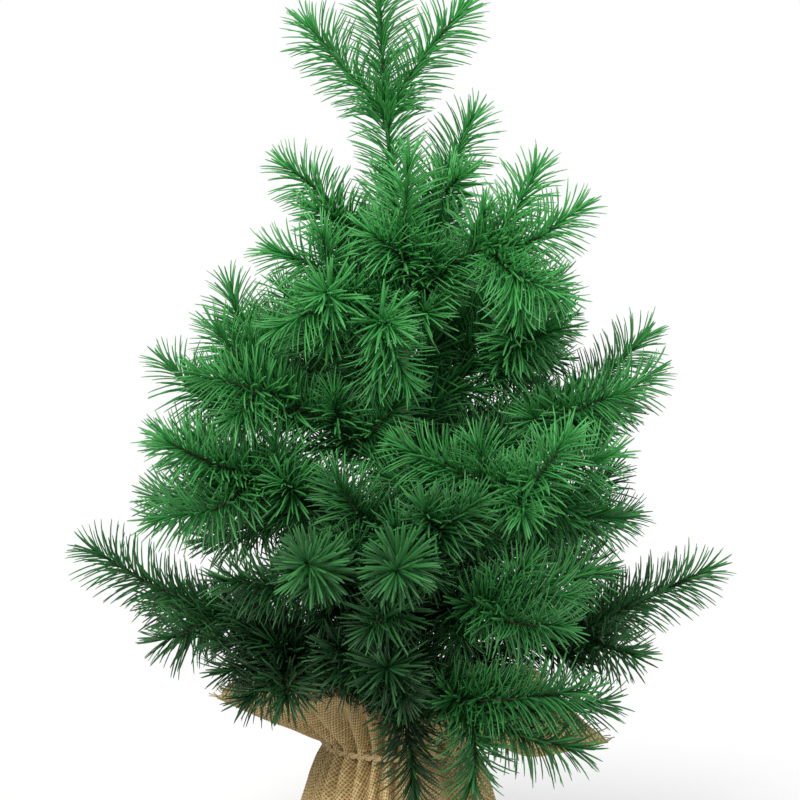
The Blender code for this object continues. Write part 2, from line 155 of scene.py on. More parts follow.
# %% Lay the floor
def floor_material():
    """Pale paper that fades out far from the tree, so no horizon shows."""
    material, tree, shader = new_material("studio_paper", 0.9)
    shader.inputs["Base Color"].default_value = (0.94, 0.94, 0.94, 1.0)
    place = tree.nodes.new("ShaderNodeTexCoord")
    reach = tree.nodes.new("ShaderNodeVectorMath")
    reach.operation = "LENGTH"
    fade = tree.nodes.new("ShaderNodeMapRange")
    fade.interpolation_type = "SMOOTHSTEP"
    for name, value in (("From Min", 0.10), ("From Max", 0.55), ("To Min", 1.0), ("To Max", 0.0)):
        fade.inputs[name].default_value = value
    wire_up(tree, (place.outputs["Object"], reach.inputs[0]), (reach.outputs["Value"], fade.inputs["Value"]),
            (fade.outputs["Result"], shader.inputs["Alpha"]))
    return material


def lay_floor():
    """A flat round floor under the base."""
    shape = bmesh.new()
    bmesh.ops.create_circle(shape, cap_ends=True, segments=96, radius=1.2)
    mesh = bpy.data.meshes.new("floor")
    shape.to_mesh(mesh)
    shape.free()
    mesh.materials.append(floor_material())
    floor = bpy.data.objects.new("floor", mesh)
    floor.location.z = -0.0002
    bpy.context.scene.collection.objects.link(floor)


lay_floor()

# %% [markdown]
# ## The routes of the twigs
# Every branch is a wire with a few side wires twisted on, and each carries a
# moulded sleeve of needles. The points below are the same routes that the
# working model uses: where a branch leaves the trunk, the stem as far as the
# fork, and each twig from the fork to the end of its stem. A smooth curve
# through them is the line that both the stem and its needles follow.

# %% The table of branches
TRUNK_X = 0.003
ROOT_RADIUS = 0.0014
ROOT_GAP = 0.0004
FIRST_NEEDLE = 0.009     # wire without needles next to the trunk
# Painted light: each listed sprig's needles are painted lighter, or darker, by this much.
SPRIG_LIGHT = {               # sprigs that catch more light, or less, than their height gives
    "branch_18": 0.34,
    "branch_16": 0.14,
    "branch_15": 0.16,
    "branch_08": 0.12,
    "branch_17": 0.12,
    "branch_09": 0.08,
    "branch_10": -0.14,
    "branch_11": -0.12,
    "branch_12": -0.10,
    "branch_19": -0.06,
}
WRAP_PROFILE = [
    (0.0930, 0.0085),
    (0.1480, 0.0080),
    (0.1700, 0.0058),
    (0.2050, 0.0040),
    (0.2600, 0.0035),
    (0.3800, 0.0030),
]

LEADER_ROOT = 0.3822
LEADER_STEM = [(-0.001, 0.000, 0.412), (-0.005, 0.000, 0.451), (-0.007, 0.000, 0.476)]
LEADER_TWIGS = [
    [(-0.009, 0.000, 0.505), (-0.013, 0.000, 0.577)],
    [(-0.032, 0.006, 0.505), (-0.053, 0.010, 0.530)],
    [(0.016, -0.006, 0.512), (0.037, -0.010, 0.537)],
]

# Branches: height of the root on the trunk, the stem from the trunk to the
# fork, and each twig from the fork to the end of its stem.
BRANCHES = {
    "01": (0.374, [(-0.029, 0.006, 0.409)], [
        [(-0.047, 0.002, 0.431), (-0.064, 0.000, 0.445)],
        [(-0.047, -0.015, 0.420)],
    ]),
    "02": (0.376, [(0.020, 0.014, 0.422)], [
        [(0.035, 0.016, 0.455), (0.044, 0.012, 0.474)],
        [(0.036, -0.010, 0.440)],
    ]),
    "03": (0.363, [(0.003, -0.028, 0.392)], [
        [(0.004, -0.037, 0.420), (0.006, -0.042, 0.448)],
        [(-0.014, -0.046, 0.406)],
    ]),
    "04": (0.355, [(0.028, -0.025, 0.385), (0.051, -0.030, 0.400)], [
        [(0.067, -0.024, 0.418), (0.080, -0.020, 0.442)],
        [(0.076, -0.044, 0.402), (0.101, -0.050, 0.419)],
        [(0.066, -0.050, 0.384), (0.092, -0.062, 0.372)],
    ]),
    "05": (0.345, [(-0.025, -0.025, 0.372)], [
        [(-0.046, -0.036, 0.386), (-0.070, -0.042, 0.396)],
        [(-0.042, -0.048, 0.366), (-0.066, -0.060, 0.354)],
        [(-0.010, -0.044, 0.350), (0.004, -0.056, 0.324)],
    ]),
    "06": (0.306, [(-0.025, 0.022, 0.333), (-0.046, 0.028, 0.349)], [
        [(-0.060, 0.030, 0.360), (-0.070, 0.031, 0.371)],
        [(-0.076, 0.044, 0.343), (-0.096, 0.050, 0.350)],
    ]),
    "07": (0.264, [(-0.037, -0.020, 0.292), (-0.064, -0.030, 0.309)], [
        [(-0.088, -0.016, 0.341), (-0.099, -0.010, 0.371)],
        [(-0.108, -0.032, 0.309), (-0.134, -0.030, 0.329)],
        [(-0.086, -0.056, 0.318), (-0.112, -0.068, 0.326)],
    ]),
    "08": (0.220, [(-0.046, -0.030, 0.244), (-0.083, -0.045, 0.264)], [
        [(-0.113, -0.042, 0.281), (-0.135, -0.036, 0.287)],
        [(-0.108, -0.066, 0.276), (-0.130, -0.080, 0.288)],
        [(-0.104, -0.072, 0.250), (-0.134, -0.084, 0.246)],
        [(-0.120, -0.020, 0.250), (-0.143, -0.002, 0.248)],
    ]),
    "09": (0.156, [(-0.058, -0.016, 0.168), (-0.102, -0.018, 0.181)], [
        [(-0.144, -0.014, 0.196), (-0.182, -0.008, 0.217)],
        [(-0.122, -0.034, 0.173), (-0.135, -0.044, 0.170)],
        [(-0.125, 0.010, 0.176), (-0.146, 0.032, 0.181)],
    ]),
    "10": (0.188, [(-0.025, -0.060, 0.206)], [
        [(-0.041, -0.105, 0.219), (-0.049, -0.148, 0.229)],
        [(-0.064, -0.084, 0.208), (-0.096, -0.096, 0.212)],
        [(-0.004, -0.098, 0.196), (-0.014, -0.128, 0.192)],
    ]),
    "11": (0.203, [(0.004, -0.055, 0.220)], [
        [(0.002, -0.105, 0.224), (-0.001, -0.150, 0.225)],
        [(0.024, -0.086, 0.240), (0.042, -0.100, 0.256)],
        [(-0.020, -0.076, 0.244), (-0.034, -0.086, 0.268)],
    ]),
    "12": (0.140, [(-0.001, -0.045, 0.146)], [
        [(-0.004, -0.088, 0.162), (-0.006, -0.126, 0.168)],
        [(0.005, -0.078, 0.126), (0.009, -0.094, 0.094)],
        [(-0.022, -0.076, 0.162), (-0.034, -0.098, 0.174)],
    ]),
    "13": (0.286, [(0.031, 0.020, 0.315), (0.058, 0.025, 0.332)], [
        [(0.078, 0.026, 0.344), (0.097, 0.026, 0.355)],
        [(0.074, -0.004, 0.342), (0.094, -0.018, 0.350)],
        [(0.072, 0.050, 0.330), (0.090, 0.072, 0.333)],
    ]),
    "14": (0.254, [(0.050, 0.014, 0.275), (0.089, 0.015, 0.291)], [
        [(0.120, 0.020, 0.315), (0.148, 0.020, 0.343)],
        [(0.118, -0.002, 0.303), (0.148, -0.008, 0.322)],
        [(0.104, -0.022, 0.302), (0.130, -0.040, 0.314)],
        [(0.115, 0.048, 0.290), (0.138, 0.070, 0.300)],
    ]),
    "15": (0.224, [(0.036, -0.034, 0.243), (0.062, -0.054, 0.255)], [
        [(0.090, -0.065, 0.268), (0.119, -0.072, 0.280)],
        [(0.094, -0.052, 0.243), (0.127, -0.046, 0.242)],
        [(0.078, -0.082, 0.268), (0.094, -0.096, 0.292)],
        [(0.038, -0.062, 0.268), (0.004, -0.064, 0.284)],
    ]),
    "16": (0.174, [(0.024, -0.048, 0.188), (0.048, -0.080, 0.196)], [
        [(0.070, -0.095, 0.202), (0.092, -0.106, 0.205)],
        [(0.064, -0.104, 0.190), (0.088, -0.120, 0.190)],
        [(0.082, -0.075, 0.206), (0.112, -0.070, 0.212)],
    ]),
    "17": (0.146, [(0.049, -0.010, 0.156), (0.102, -0.010, 0.168)], [
        [(0.143, -0.015, 0.187), (0.181, -0.020, 0.206)],
        [(0.124, -0.032, 0.163), (0.136, -0.044, 0.161)],
        [(0.122, 0.020, 0.170), (0.146, 0.042, 0.179)],
    ]),
    "18": (0.136, [(0.018, -0.050, 0.143), (0.035, -0.082, 0.142)], [
        [(0.075, -0.084, 0.136), (0.115, -0.077, 0.139)],
        [(0.062, -0.104, 0.146), (0.100, -0.112, 0.152)],
        [(0.043, -0.100, 0.118), (0.041, -0.106, 0.098)],
        [(0.068, -0.094, 0.124), (0.100, -0.094, 0.116)],
    ]),
    "19": (0.143, [(-0.033, -0.034, 0.153), (-0.054, -0.044, 0.160)], [
        [(-0.078, -0.048, 0.166), (-0.102, -0.050, 0.169)],
        [(-0.075, -0.062, 0.159), (-0.096, -0.072, 0.157)],
        [(-0.062, -0.068, 0.156), (-0.084, -0.084, 0.144)],
    ]),
    "20": (0.358, [(-0.004, 0.030, 0.384)], [
        [(-0.008, 0.048, 0.412), (-0.010, 0.060, 0.438)],
        [(0.018, 0.058, 0.398), (0.030, 0.080, 0.414)],
        [(-0.022, 0.062, 0.388), (-0.034, 0.084, 0.398)],
    ]),
    "21": (0.325, [(0.034, 0.034, 0.350)], [
        [(0.058, 0.056, 0.372), (0.070, 0.068, 0.394)],
        [(0.066, 0.040, 0.362), (0.096, 0.048, 0.376)],
        [(0.032, 0.072, 0.356), (0.030, 0.100, 0.368)],
    ]),
    "22": (0.288, [(-0.036, 0.046, 0.312)], [
        [(-0.066, 0.066, 0.320), (-0.092, 0.080, 0.336)],
        [(-0.080, 0.044, 0.304), (-0.118, 0.048, 0.312)],
        [(-0.036, 0.086, 0.322), (-0.034, 0.118, 0.338)],
    ]),
    "23": (0.256, [(0.022, 0.056, 0.282)], [
        [(0.022, 0.098, 0.302), (0.022, 0.130, 0.326)],
        [(0.058, 0.086, 0.288), (0.086, 0.108, 0.300)],
        [(-0.008, 0.096, 0.282), (-0.022, 0.136, 0.288)],
    ]),
    "24": (0.208, [(-0.040, 0.040, 0.226), (-0.070, 0.062, 0.238)], [
        [(-0.102, 0.082, 0.256), (-0.126, 0.096, 0.278)],
        [(-0.106, 0.058, 0.232), (-0.136, 0.062, 0.238)],
        [(-0.074, 0.102, 0.244), (-0.076, 0.138, 0.254)],
        [(-0.100, 0.088, 0.214), (-0.122, 0.104, 0.210)],
    ]),
    "25": (0.190, [(0.045, 0.030, 0.206), (0.080, 0.050, 0.218)], [
        [(0.112, 0.072, 0.234), (0.134, 0.088, 0.254)],
        [(0.110, 0.040, 0.222), (0.138, 0.038, 0.232)],
        [(0.082, 0.092, 0.222), (0.088, 0.130, 0.234)],
        [(0.106, 0.078, 0.198), (0.130, 0.094, 0.190)],
    ]),
    "26": (0.162, [(-0.006, 0.045, 0.176), (-0.010, 0.082, 0.188)], [
        [(-0.010, 0.122, 0.208), (-0.010, 0.152, 0.234)],
        [(0.030, 0.110, 0.186), (0.052, 0.146, 0.192)],
        [(-0.048, 0.106, 0.184), (-0.076, 0.140, 0.188)],
        [(-0.012, 0.122, 0.166), (-0.014, 0.158, 0.160)],
    ]),
}


def trunk_radius(height):
    """Radius of the taped trunk at a height."""
    levels = [level for level, _ in WRAP_PROFILE]
    radii = [radius for _, radius in WRAP_PROFILE]
    return float(np.interp(height, levels, radii))


def branch_root(height, first_point):
    """Where a wire comes out of the tape, on the side it heads for."""
    away = Vector((first_point[0] - TRUNK_X, first_point[1], 0.0)).normalized()
    return Vector((TRUNK_X, 0.0, height)) + away * (trunk_radius(height) + ROOT_RADIUS + ROOT_GAP)


ROUTES = {"leader": (Vector((TRUNK_X, 0.0, LEADER_ROOT)), LEADER_STEM, LEADER_TWIGS)}
for number, (height, stem, twigs) in BRANCHES.items():
    ROUTES["branch_" + number] = (branch_root(height, stem[0]), stem, twigs)
print("routes:", len(ROUTES), " twigs:", sum(len(route[2]) for route in ROUTES.values()))


# %% Smooth curves through the points
def smooth_line(points, step=0.003):
    """Points about a step apart on a Catmull-Rom curve through the given ones."""
    knots = [2.0 * points[0] - points[1], *points, 2.0 * points[-1] - points[-2]]
    line = [points[0].copy()]
    for before, a, b, after in zip(knots, knots[1:], knots[2:], knots[3:]):
        count = max(2, round((b - a).length / step))
        for i in range(1, count + 1):
            t = i / count
            line.append(0.5 * (2.0 * a + (b - before) * t
                               + (2.0 * before - 5.0 * a + 4.0 * b - after) * t * t
                               + (3.0 * a - before - 3.0 * b + after) * t ** 3))
    return line


def branch_lines(route):
    """The main line with its first twig, and each side twig from the fork."""
    root, stem, twigs = route
    main = [root] + [Vector(p) for p in stem] + [Vector(p) for p in twigs[0]]
    lines = [smooth_line(main)]
    fork = Vector(stem[-1])
    before = Vector(stem[-2]) if len(stem) > 1 else root
    for points in twigs[1:]:
        bent = [fork.lerp(before, 0.25), fork] + [Vector(p) for p in points]
        lines.append(smooth_line(bent))
    return lines


LINES = {name: branch_lines(route) for name, route in ROUTES.items()}
print("longest line: %d points" % max(len(line) for lines in LINES.values() for line in lines))

# %% Short twigs that fill the middle
TUFT_LENGTH = 0.024
TUFT_LEAN = math.radians(56.0)
TUFT_STEP = 0.014        # along the stem from one tuft to the next
TUFT_REACH = 0.100       # only this near to the trunk
TUFT_TOP = 0.400
TUFT_LOW = 0.142         # none reaches down to the cloth
GOLDEN_ANGLE = math.radians(137.508)


def tufts_along(line, first, start_spin):
    """Short twigs that leave a line in turn all round it, close to the trunk."""
    tufts = []
    run = 0.0
    due = first
    spin = start_spin
    whole = sum((b - a).length for a, b in zip(line, line[1:]))
    for a, b in zip(line, line[1:]):
        run += (b - a).length
        near = math.hypot(b.x - TRUNK_X, b.y) < TUFT_REACH and b.z < TUFT_TOP
        if run < due or not near or whole - run < TUFT_LENGTH:
            continue
        ahead = (b - a).normalized()
        across = ahead.orthogonal().normalized()
        across.rotate(Matrix.Rotation(spin, 3, ahead))
        way = ahead * math.cos(TUFT_LEAN) + across * math.sin(TUFT_LEAN)
        bend = (way + ahead * 0.35).normalized()
        if b.z + way.z * TUFT_LENGTH > TUFT_LOW:
            middle = b + way * TUFT_LENGTH * 0.5
            tufts.append(smooth_line([b, middle, middle + bend * TUFT_LENGTH * 0.5]))
        due += TUFT_STEP
        spin += GOLDEN_ANGLE
    return tufts


# A few longer ones, across the front of the trunk and between two twigs.
FILLERS = {
    "branch_07": [
        [(-0.024, -0.016, 0.280), (-0.010, -0.030, 0.296), (0.004, -0.034, 0.312)],
        [(-0.064, -0.030, 0.309), (-0.088, -0.034, 0.328), (-0.106, -0.034, 0.350)],
    ],
    "branch_08": [
        [(-0.060, -0.036, 0.252), (-0.067, -0.044, 0.267), (-0.072, -0.050, 0.284)],
    ],
    "branch_15": [
        [(0.036, -0.034, 0.243), (0.018, -0.040, 0.252), (-0.004, -0.040, 0.264)],
    ],
}

for name, routes in FILLERS.items():
    LINES[name] += [smooth_line([Vector(p) for p in points]) for points in routes]
for order, lines in enumerate(LINES.values()):
    for k, line in enumerate(list(lines)):
        lines += tufts_along(line, 0.006 if k == 0 else 1.6 * TUFT_STEP, order + 2.1 * k)
print("lines with tufts:", sum(len(lines) for lines in LINES.values()))


# %% Guides for the Geometry Nodes
def line_guide(name, lines, bare, light_and_tint=0.0):
    """Edges along the lines, with what the needle tree needs to know at each point."""
    places = []
    edges = []
    facts = {"to_tip": [], "painted_light": [], "girth": [], "run": []}
    ahead = []
    for k, line in enumerate(lines):
        lengths = [0.0]
        for a, b in zip(line, line[1:]):
            lengths.append(lengths[-1] + (b - a).length)
        first = next(i for i, run in enumerate(lengths) if run >= (bare if k == 0 else 0.0))
        start = len(places)
        for i in range(first, len(line)):
            before = line[max(i - 1, 0)]
            after = line[min(i + 1, len(line) - 1)]
            # Painted light and shade: needles low down and near the trunk are painted darker, those further
            # out and at the front are painted lighter.
            out = (math.hypot(line[i].x, line[i].y) - 0.02) / 0.13
            high = (line[i].z - 0.16) / 0.24
            front = 0.16 * min(max(-line[i].y / 0.10, -0.25), 1.0)
            low = 0.30 + 0.70 * min(max(high, 0.0), 1.0)
            places.append(line[i])
            ahead.append((after - before).normalized())
            facts["to_tip"].append(lengths[-1] - lengths[i])
            facts["run"].append(lengths[i])
            painted_light = 0.74 * min(high, 1.2) + (0.24 * out + front) * low + light_and_tint
            facts["painted_light"].append(min(max(painted_light, 0.0), 1.0))
            facts["girth"].append(0.0008 + 0.0006 * (1.0 - lengths[i] / lengths[-1]))
        edges += [(i, i + 1) for i in range(start, len(places) - 1)]
    mesh = bpy.data.meshes.new(name)
    mesh.from_pydata(places, edges, [])
    for key, values in facts.items():
        mesh.attributes.new(key, "FLOAT", "POINT").data.foreach_set("value", values)
    vectors = mesh.attributes.new("ahead", "FLOAT_VECTOR", "POINT")
    vectors.data.foreach_set("vector", [c for v in ahead for c in v])
    guide = bpy.data.objects.new(name, mesh)
    bpy.context.scene.collection.objects.link(guide)
    return guide


# %% [markdown]
# ## One needle, many times
# A moulded needle is a slim blade, a millimetre and a half wide, with a blunt
# end. It leaves the stem at a slant and curls away from it. It is made once
# from a few dozen faces. Geometry Nodes then set one at every step along a
# twig, each turned by the golden angle from the last, as leaves grow, so no
# rows show. Near the end of the twig they lean in and close to a round brush.

# %% Shape one needle
NEEDLE_LENGTH = 0.0285
NEEDLE_HALF_WIDTH = 0.00086
NEEDLE_HALF_THICK = 0.00050
NEEDLE_CURL = 0.20       # how far the tip curls away, as a share of the length


def shape_needle():
    """A four-sided blade with a blunt tip; "along" runs from root 0 to tip 1."""
    shape = bmesh.new()
    steps = (0.0, 0.25, 0.55, 0.80, 0.96)
    widths = (0.55, 0.90, 1.0, 0.88, 0.50)
    rings = []
    for t, width in zip(steps, widths):
        away = NEEDLE_CURL * NEEDLE_LENGTH * t * t
        half_w = NEEDLE_HALF_WIDTH * width
        half_t = NEEDLE_HALF_THICK * width
        corners = ((half_t, 0.0), (0.0, half_w), (-half_t, 0.0), (0.0, -half_w))
        rings.append([shape.verts.new((away + x, y, NEEDLE_LENGTH * t)) for x, y in corners])
    tip = shape.verts.new((NEEDLE_CURL * NEEDLE_LENGTH, 0.0, NEEDLE_LENGTH))
    shape.faces.new(rings[0][::-1])
    for lower, upper in zip(rings, rings[1:]):
        for i in range(4):
            shape.faces.new((lower[i], lower[(i + 1) % 4], upper[(i + 1) % 4], upper[i]))
    for i in range(4):
        shape.faces.new((rings[-1][i], rings[-1][(i + 1) % 4], tip))
    mesh = bpy.data.meshes.new("needle")
    shape.to_mesh(mesh)
    shape.free()
    mesh.shade_smooth()
    along = mesh.attributes.new("along", "FLOAT", "POINT")
    along.data.foreach_set("value", [v.co.z / NEEDLE_LENGTH for v in mesh.vertices])
    needle = bpy.data.objects.new("needle_pattern", mesh)
    bpy.context.scene.collection.objects.link(needle)
    return needle


needle = shape_needle()
print("faces in a needle:", len(needle.data.polygons))


# %% The needle tree
def add_inputs(tree, *inputs):
    """Named inputs of a node tree: (name, socket type, value or None)."""
    for name, kind, value in inputs:
        socket = tree.interface.new_socket(name, in_out="INPUT", socket_type=kind)
        if value is not None:
            socket.default_value = value
    tree.interface.new_socket("Geometry", in_out="OUTPUT", socket_type="NodeSocketGeometry")


def geometry_tree(name, *inputs):
    """A Geometry Nodes tree with its inputs, its group input and its output."""
    tree = bpy.data.node_groups.new(name, "GeometryNodeTree")
    add_inputs(tree, ("Geometry", "NodeSocketGeometry", None), *inputs)
    return tree, tree.nodes.new("NodeGroupInput"), tree.nodes.new("NodeGroupOutput")


def named(tree, name, kind="FLOAT"):
    """Read a stored attribute in Geometry Nodes."""
    node = tree.nodes.new("GeometryNodeInputNamedAttribute")
    node.data_type = kind
    node.inputs["Name"].default_value = name
    return node.outputs["Attribute"]


def random_between(tree, low, high, seed, shift):
    """A seeded random number for each point."""
    node = tree.nodes.new("FunctionNodeRandomValue")
    node.data_type = "FLOAT"
    node.inputs[2].default_value = low
    node.inputs[3].default_value = high
    tree.links.new(math_node(tree, "ADD", seed, float(shift)), node.inputs["Seed"])
    return node.outputs[1]


def turn_by(tree, rotation, axis, angle):
    """Turn a rotation about one of its own axes."""
    euler = tree.nodes.new("ShaderNodeCombineXYZ")
    tree.links.new(angle, euler.inputs[axis])
    change = tree.nodes.new("FunctionNodeEulerToRotation")
    turn = tree.nodes.new("FunctionNodeRotateRotation")
    turn.rotation_space = "LOCAL"
    wire_up(tree, (euler.outputs[0], change.inputs[0]), (rotation, turn.inputs[0]),
            (change.outputs[0], turn.inputs[1]))
    return turn.outputs[0]


def needle_tree():
    """Set a needle at every step along the guide's lines."""
    tree, given, result = geometry_tree(
        "needle_spray",
        ("Needle Pitch", "NodeSocketFloat", 0.00042),
        ("Side Lean", "NodeSocketFloat", math.radians(48.0)),
        ("Tip Lean", "NodeSocketFloat", math.radians(16.0)),
        ("Brush Length", "NodeSocketFloat", 0.018),
        ("Tip Size", "NodeSocketFloat", 0.74),
        ("Seed", "NodeSocketInt", 1),
        ("Needle", "NodeSocketObject", None),
        ("Finish", "NodeSocketMaterial", None),
    )
    curve = tree.nodes.new("GeometryNodeMeshToCurve")
    steps = tree.nodes.new("GeometryNodeResampleCurve")
    steps.mode = "LENGTH"
    pattern = tree.nodes.new("GeometryNodeObjectInfo")
    place = tree.nodes.new("GeometryNodeInstanceOnPoints")
    aim = tree.nodes.new("FunctionNodeAlignRotationToVector")
    aim.axis = "Z"
    index = tree.nodes.new("GeometryNodeInputIndex")
    seed = given.outputs["Seed"]

    golden = math_node(tree, "MULTIPLY", index.outputs[0], GOLDEN_ANGLE)
    spin = math_node(tree, "ADD", golden, random_between(tree, -0.30, 0.30, seed, 3))
    closing = tree.nodes.new("ShaderNodeMapRange")
    closing.interpolation_type = "SMOOTHSTEP"
    wire_up(tree, (named(tree, "to_tip"), closing.inputs["Value"]),
            (given.outputs["Brush Length"], closing.inputs["From Max"]),
            (given.outputs["Tip Lean"], closing.inputs["To Min"]),
            (given.outputs["Side Lean"], closing.inputs["To Max"]))
    lean = math_node(tree, "ADD", closing.outputs["Result"], random_between(tree, -0.10, 0.10, seed, 5))
    turned = turn_by(tree, turn_by(tree, aim.outputs[0], 2, spin), 1, lean)
    turned = turn_by(tree, turned, 0, random_between(tree, -0.10, 0.10, seed, 7))

    shorter = tree.nodes.new("ShaderNodeMapRange")
    shorter.interpolation_type = "SMOOTHSTEP"
    wire_up(tree, (named(tree, "to_tip"), shorter.inputs["Value"]),
            (given.outputs["Brush Length"], shorter.inputs["From Max"]),
            (given.outputs["Tip Size"], shorter.inputs["To Min"]))
    size = math_node(tree, "MULTIPLY", shorter.outputs["Result"], random_between(tree, 0.82, 1.04, seed, 11))

    tint = tree.nodes.new("GeometryNodeStoreNamedAttribute")
    tint.domain = "INSTANCE"
    tint.inputs["Name"].default_value = "chance"
    real = tree.nodes.new("GeometryNodeRealizeInstances")
    finish = tree.nodes.new("GeometryNodeSetMaterial")
    wire_up(tree, (given.outputs["Geometry"], curve.inputs["Mesh"]),
            (curve.outputs[0], steps.inputs["Curve"]),
            (given.outputs["Needle Pitch"], steps.inputs["Length"]),
            (steps.outputs[0], place.inputs["Points"]),
            (given.outputs["Needle"], pattern.inputs["Object"]),
            (pattern.outputs["Geometry"], place.inputs["Instance"]),
            (named(tree, "ahead", "FLOAT_VECTOR"), aim.inputs["Vector"]),
            (turned, place.inputs["Rotation"]),
            (size, place.inputs["Scale"]),
            (place.outputs[0], tint.inputs["Geometry"]),
            (random_between(tree, 0.0, 1.0, seed, 13), tint.inputs["Value"]),
            (tint.outputs[0], real.inputs[0]), (real.outputs[0], finish.inputs["Geometry"]),
            (given.outputs["Finish"], finish.inputs["Material"]),
            (finish.outputs[0], result.inputs["Geometry"]))
    return tree


def stem_tree():
    """A round stem along the guide's lines, thick as its girth says."""
    tree, given, result = geometry_tree(
        "twig_stem",
        ("Step", "NodeSocketFloat", 0.003),
        ("Finish", "NodeSocketMaterial", None),
    )
    curve = tree.nodes.new("GeometryNodeMeshToCurve")
    steps = tree.nodes.new("GeometryNodeResampleCurve")
    steps.mode = "LENGTH"
    ring = tree.nodes.new("GeometryNodeCurvePrimitiveCircle")
    ring.inputs["Resolution"].default_value = 8
    ring.inputs["Radius"].default_value = 1.0
    skin = tree.nodes.new("GeometryNodeCurveToMesh")
    skin.inputs["Fill Caps"].default_value = True
    real = tree.nodes.new("GeometryNodeRealizeInstances")
    finish = tree.nodes.new("GeometryNodeSetMaterial")
    wire_up(tree, (given.outputs["Geometry"], curve.inputs["Mesh"]),
            (curve.outputs[0], steps.inputs["Curve"]), (given.outputs["Step"], steps.inputs["Length"]),
            (steps.outputs[0], skin.inputs["Curve"]), (ring.outputs[0], skin.inputs["Profile Curve"]),
            (named(tree, "girth"), skin.inputs["Scale"]),
            (skin.outputs[0], real.inputs[0]), (real.outputs[0], finish.inputs["Geometry"]),
            (given.outputs["Finish"], finish.inputs["Material"]),
            (finish.outputs[0], result.inputs["Geometry"]))
    return tree


def grow(name, guide, tree, **inputs):
    """Run a tree on a guide and keep the result as a plain mesh piece."""
    modifier = guide.modifiers.new("grow", "NODES")
    modifier.node_group = tree
    for socket in tree.interface.items_tree:
        key = socket.name.replace(" ", "_").lower()
        if socket.in_out == "INPUT" and key in inputs:
            modifier[socket.identifier] = inputs[key]
    graph = bpy.context.evaluated_depsgraph_get()
    mesh = bpy.data.meshes.new_from_object(guide.evaluated_get(graph))
    guide.modifiers.remove(modifier)
    mesh.name = name
    piece = bpy.data.objects.new(name, mesh)
    bpy.context.scene.collection.objects.link(piece)
    return piece


# %% [markdown]
# ## Grain, once for every finish
# Bark, paper tape, cement, moulded plastic and jute all have a fine grain that
# changes their colour and breaks up their gloss. One node group makes it from
# noise that can be drawn out along one direction, and each finish places the
# group with its own sizes. The group gives a mask from 0 to 1 and a normal.

# %% The grain group
def grain_group():
    """A shader group: noise drawn out by a stretch, as a mask and a bump normal."""
    group = bpy.data.node_groups.new("fine_grain", "ShaderNodeTree")
    for name, kind, value in (("Vector", "NodeSocketVector", None),
                              ("Stretch", "NodeSocketVector", (1.0, 1.0, 1.0)),
                              ("Scale", "NodeSocketFloat", 400.0),
                              ("Depth", "NodeSocketFloat", 0.0002)):
        socket = group.interface.new_socket(name, in_out="INPUT", socket_type=kind)
        if value is not None:
            socket.default_value = value
    group.interface.new_socket("Mask", in_out="OUTPUT", socket_type="NodeSocketFloat")
    group.interface.new_socket("Normal", in_out="OUTPUT", socket_type="NodeSocketVector")
    given = group.nodes.new("NodeGroupInput")
    result = group.nodes.new("NodeGroupOutput")
    draw_out = group.nodes.new("ShaderNodeVectorMath")
    draw_out.operation = "MULTIPLY"
    grain = group.nodes.new("ShaderNodeTexNoise")
    grain.inputs["Detail"].default_value = 4.0
    spread = group.nodes.new("ShaderNodeMapRange")
    spread.inputs["From Min"].default_value = 0.3
    spread.inputs["From Max"].default_value = 0.7
    bump = group.nodes.new("ShaderNodeBump")
    wire_up(group, (given.outputs["Vector"], draw_out.inputs[0]),
            (given.outputs["Stretch"], draw_out.inputs[1]),
            (draw_out.outputs[0], grain.inputs["Vector"]),
            (given.outputs["Scale"], grain.inputs["Scale"]),
            (grain.outputs[0], spread.inputs["Value"]), (grain.outputs[0], bump.inputs["Height"]),
            (given.outputs["Depth"], bump.inputs["Distance"]),
            (spread.outputs["Result"], result.inputs["Mask"]), (bump.outputs[0], result.inputs["Normal"]))
    return group


FINE_GRAIN = grain_group()


def grained(name, dark, light, roughness, scale, depth, stretch=(1.0, 1.0, 1.0), metallic=0.0):
    """A finish whose colour runs from dark to light with the grain, on Object coordinates."""
    material, tree, shader = new_material(name, roughness, metallic)
    place = tree.nodes.new("ShaderNodeTexCoord")
    grain = tree.nodes.new("ShaderNodeGroup")
    grain.node_tree = FINE_GRAIN
    grain.inputs["Stretch"].default_value = stretch
    grain.inputs["Scale"].default_value = scale
    grain.inputs["Depth"].default_value = depth
    colour = mix_colour(tree, grain.outputs["Mask"], dark, light)
    rough = math_node(tree, "MULTIPLY_ADD", grain.outputs["Mask"], 0.16, roughness - 0.08)
    wire_up(tree, (place.outputs["Object"], grain.inputs["Vector"]), (colour, shader.inputs["Base Color"]),
            (rough, shader.inputs["Roughness"]), (grain.outputs["Normal"], shader.inputs["Normal"]))
    return material


print("grain group inputs:", [s.name for s in FINE_GRAIN.interface.items_tree if s.in_out == "INPUT"])
